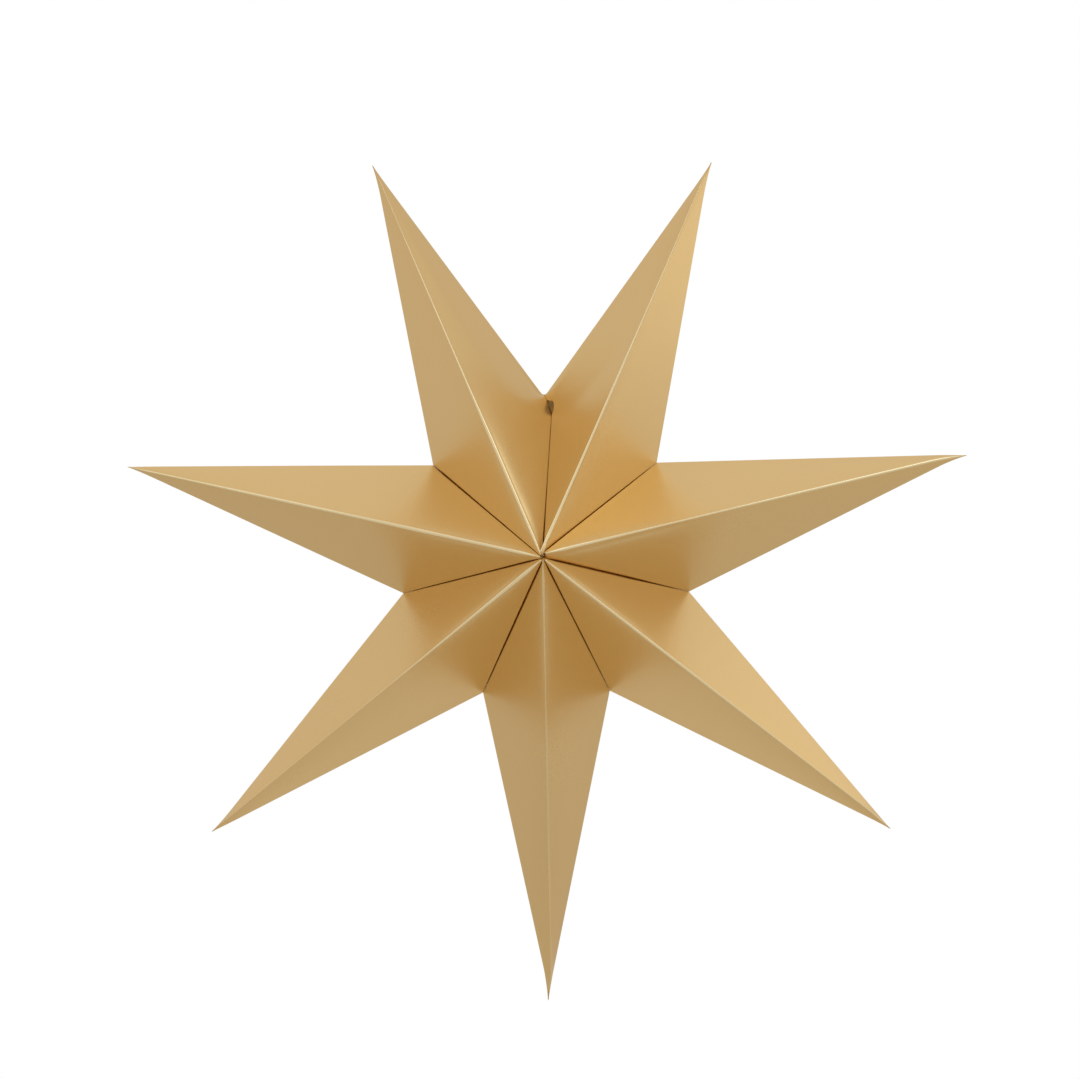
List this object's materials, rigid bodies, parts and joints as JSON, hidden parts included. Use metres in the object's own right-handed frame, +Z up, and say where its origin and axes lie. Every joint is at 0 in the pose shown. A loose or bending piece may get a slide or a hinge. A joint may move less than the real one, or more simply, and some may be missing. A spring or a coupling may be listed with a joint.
{
  "type": "folded paper star",
  "caption": "Hanging star of folded metallic gold card points, glued side by side round a hub, hollow inside, with a thread gap at its top notch.",
  "frame": {"origin": "the corner of the top notch, between the two top points in the star's mid plane, where its hanging thread comes out", "axes": "+Z up as it hangs, -Y towards the viewer (front), +X to the viewer's right"},
  "size_m": [0.6007, 0.1998, 0.6],
  "materials": {
    "gold_card": "satin metallic gold coating on thin card, with burnished folds"
  },
  "bodies": {
    "root": {"point_right": "gold_card", "point_top_right": "gold_card", "point_top_left": "gold_card", "point_left": "gold_card", "point_lower_left": "gold_card", "point_bottom": "gold_card", "point_lower_right": "gold_card"}
  },
  "joints": []
}
